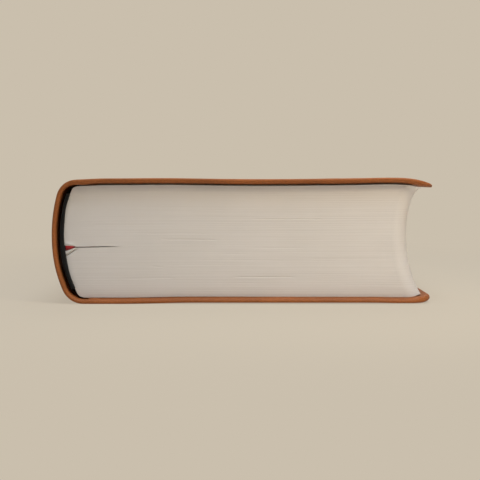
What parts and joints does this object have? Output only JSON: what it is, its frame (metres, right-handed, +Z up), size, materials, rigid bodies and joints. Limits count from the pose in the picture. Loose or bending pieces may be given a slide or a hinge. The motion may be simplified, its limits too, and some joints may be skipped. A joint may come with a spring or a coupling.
{
  "type": "faux leather bible",
  "caption": "Thick flexible book lying closed: brown faux leather covers that open on a rounded hollow back, round-cornered page block, corded end bands and a ribbon marker.",
  "frame": {"origin": "centre of the closed book's footprint, on the table under the lower cover", "axes": "+Z up through the closed covers, +Y from head to foot along the back, +X from the back to the fore-edge"},
  "size_m": [0.1416, 0.2278, 0.0464],
  "materials": {
    "faux_leather": "satin",
    "paper": "matt",
    "endpaper": "matt",
    "card": "matt",
    "lining": "matt",
    "band": "matt",
    "ribbon": "satin"
  },
  "bodies": {
    "pages": {"text_block": "paper", "spine_lining": "lining", "head_band": "band", "tail_band": "band", "ribbon_marker": "ribbon", "spine_leather": "faux_leather", "spine_inlay": "card"},
    "upper_cover": {"upper_leather": "faux_leather", "upper_board": "card", "upper_pastedown": "endpaper"},
    "lower_cover": {"lower_leather": "faux_leather", "lower_board": "card", "lower_pastedown": "endpaper"}
  },
  "joints": [
    {"name": "upper_joint", "type": "hinge", "parent": "pages", "child": "upper_cover", "pos_m": [-0.0588, 0, 0.04655], "axis": [0, -1, 0], "range_deg": [0, 178]},
    {"name": "lower_joint", "type": "hinge", "parent": "pages", "child": "lower_cover", "pos_m": [-0.0566, 0, -0.00015], "axis": [0, 1, 0], "range_deg": [0, 178]}
  ]
}
